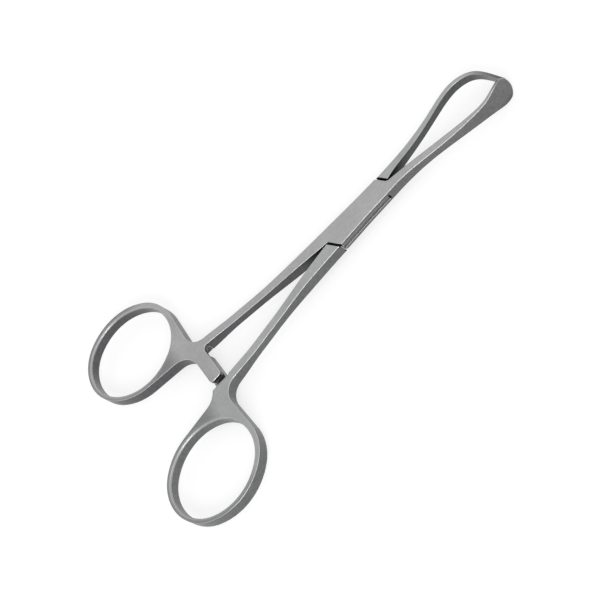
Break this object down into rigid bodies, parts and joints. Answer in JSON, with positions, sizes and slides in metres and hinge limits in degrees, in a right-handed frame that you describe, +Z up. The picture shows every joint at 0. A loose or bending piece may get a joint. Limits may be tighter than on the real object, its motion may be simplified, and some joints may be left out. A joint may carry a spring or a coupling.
{
  "type": "surgical towel clamp",
  "caption": "Ring-handled surgical towel clamp with box lock, ratchet bars, one wide cupped jaw end and one hooked jaw, in satin stainless steel.",
  "frame": {"origin": "where the pivot axis leaves the underside of the box lock", "axes": "+X along the instrument towards the jaw tips, +Y towards the box half's ring, +Z up along the pivot axis, out of the upper face"},
  "size_m": [0.1326, 0.0714, 0.0086],
  "materials": {
    "satin_steel": "fine matt satin, bead blasted"
  },
  "bodies": {
    "box_half": {"box_half": "satin_steel", "pivot_pin": "satin_steel"},
    "insert_half": {"insert_half": "satin_steel"}
  },
  "joints": [
    {"name": "lock_pivot", "type": "hinge", "parent": "box_half", "child": "insert_half", "pos_m": [0, 0, 0.0017], "axis": [0, 0, 1], "range_deg": [0, 40]}
  ]
}
